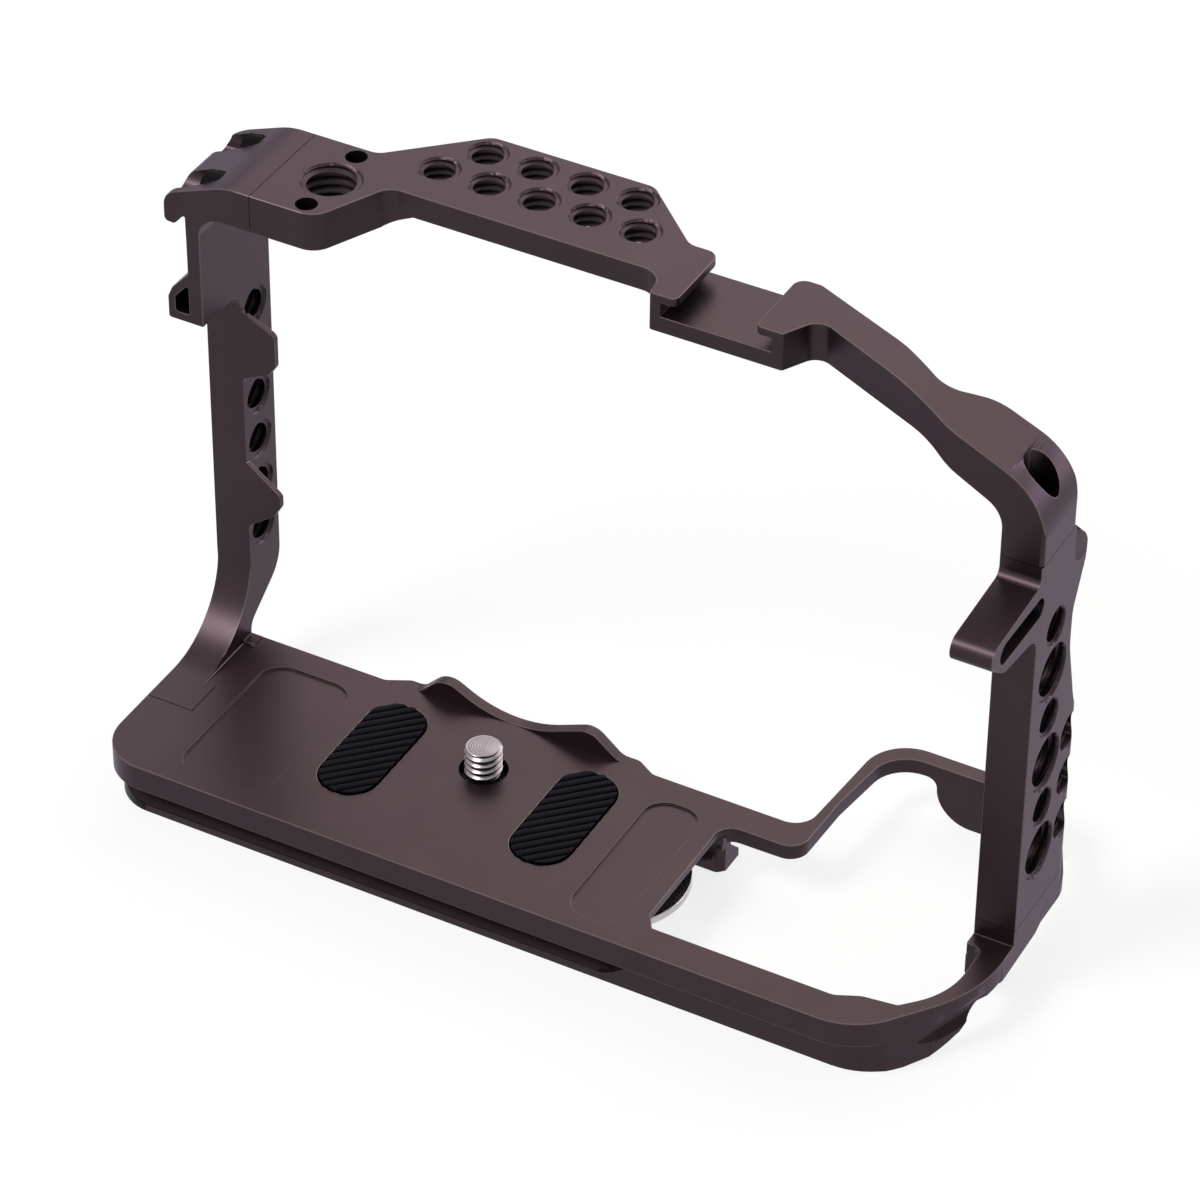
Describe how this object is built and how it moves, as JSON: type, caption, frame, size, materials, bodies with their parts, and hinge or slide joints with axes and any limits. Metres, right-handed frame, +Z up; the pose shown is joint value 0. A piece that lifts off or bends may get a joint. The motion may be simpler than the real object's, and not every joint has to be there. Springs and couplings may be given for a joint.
{
  "type": "camera cage",
  "caption": "Open frame that a camera is screwed into, with rows of accessory holes, a cold shoe, strap lugs, a dovetail foot and an opening round the battery door.",
  "frame": {"origin": "camera screw's axis at the floor that the camera stands on", "axes": "+X towards the hand-grip side, +Y towards the lens, +Z up along the camera screw"},
  "size_m": [0.1539, 0.0672, 0.1093],
  "materials": {
    "anodised_aluminium": "fine bead-blasted, dark grey anodised",
    "bright_steel": "turned and faced",
    "spring_steel": "dark spring steel",
    "magnet_nickel": "nickel plated",
    "black_steel": "black oxide",
    "black_nylon": "matt",
    "pad_rubber": "matt, ribbed",
    "black_inlay": "matt"
  },
  "bodies": {
    "cage": {"base_plate": "anodised_aluminium", "left_side_plate": "anodised_aluminium", "right_side_plate": "anodised_aluminium", "top_plate": "anodised_aluminium", "screw_retaining_ring": "spring_steel", "rubber_pad_left": "pad_rubber", "rubber_pad_right": "pad_rubber", "key_magnet_near": "magnet_nickel", "key_magnet_far": "magnet_nickel", "top_left_screw_near": "black_steel", "top_left_screw_far": "black_steel", "top_right_screw": "black_steel", "left_foot_screw_near": "black_steel", "left_foot_screw_far": "black_steel", "right_foot_screw_near": "black_steel", "right_foot_screw_far": "black_steel"},
    "screw_carrier": {"screw_washer": "black_nylon"},
    "screw": {"camera_screw": "bright_steel"},
    "key": {"coin_key": "bright_steel", "key_inlay": "black_inlay"}
  },
  "joints": [
    {"name": "screw_drop", "type": "slide", "parent": "cage", "child": "screw_carrier", "axis": [0, 0, -1], "range_m": [0, 0.004]},
    {"name": "screw_turn", "type": "hinge", "parent": "screw_carrier", "child": "screw", "pos_m": [0, 0, 0], "axis": [0, 0, 1], "continuous": true},
    {"name": "key_pull", "type": "slide", "parent": "cage", "child": "key", "axis": [0, 0, -1], "range_m": [0, 0.012]}
  ]
}
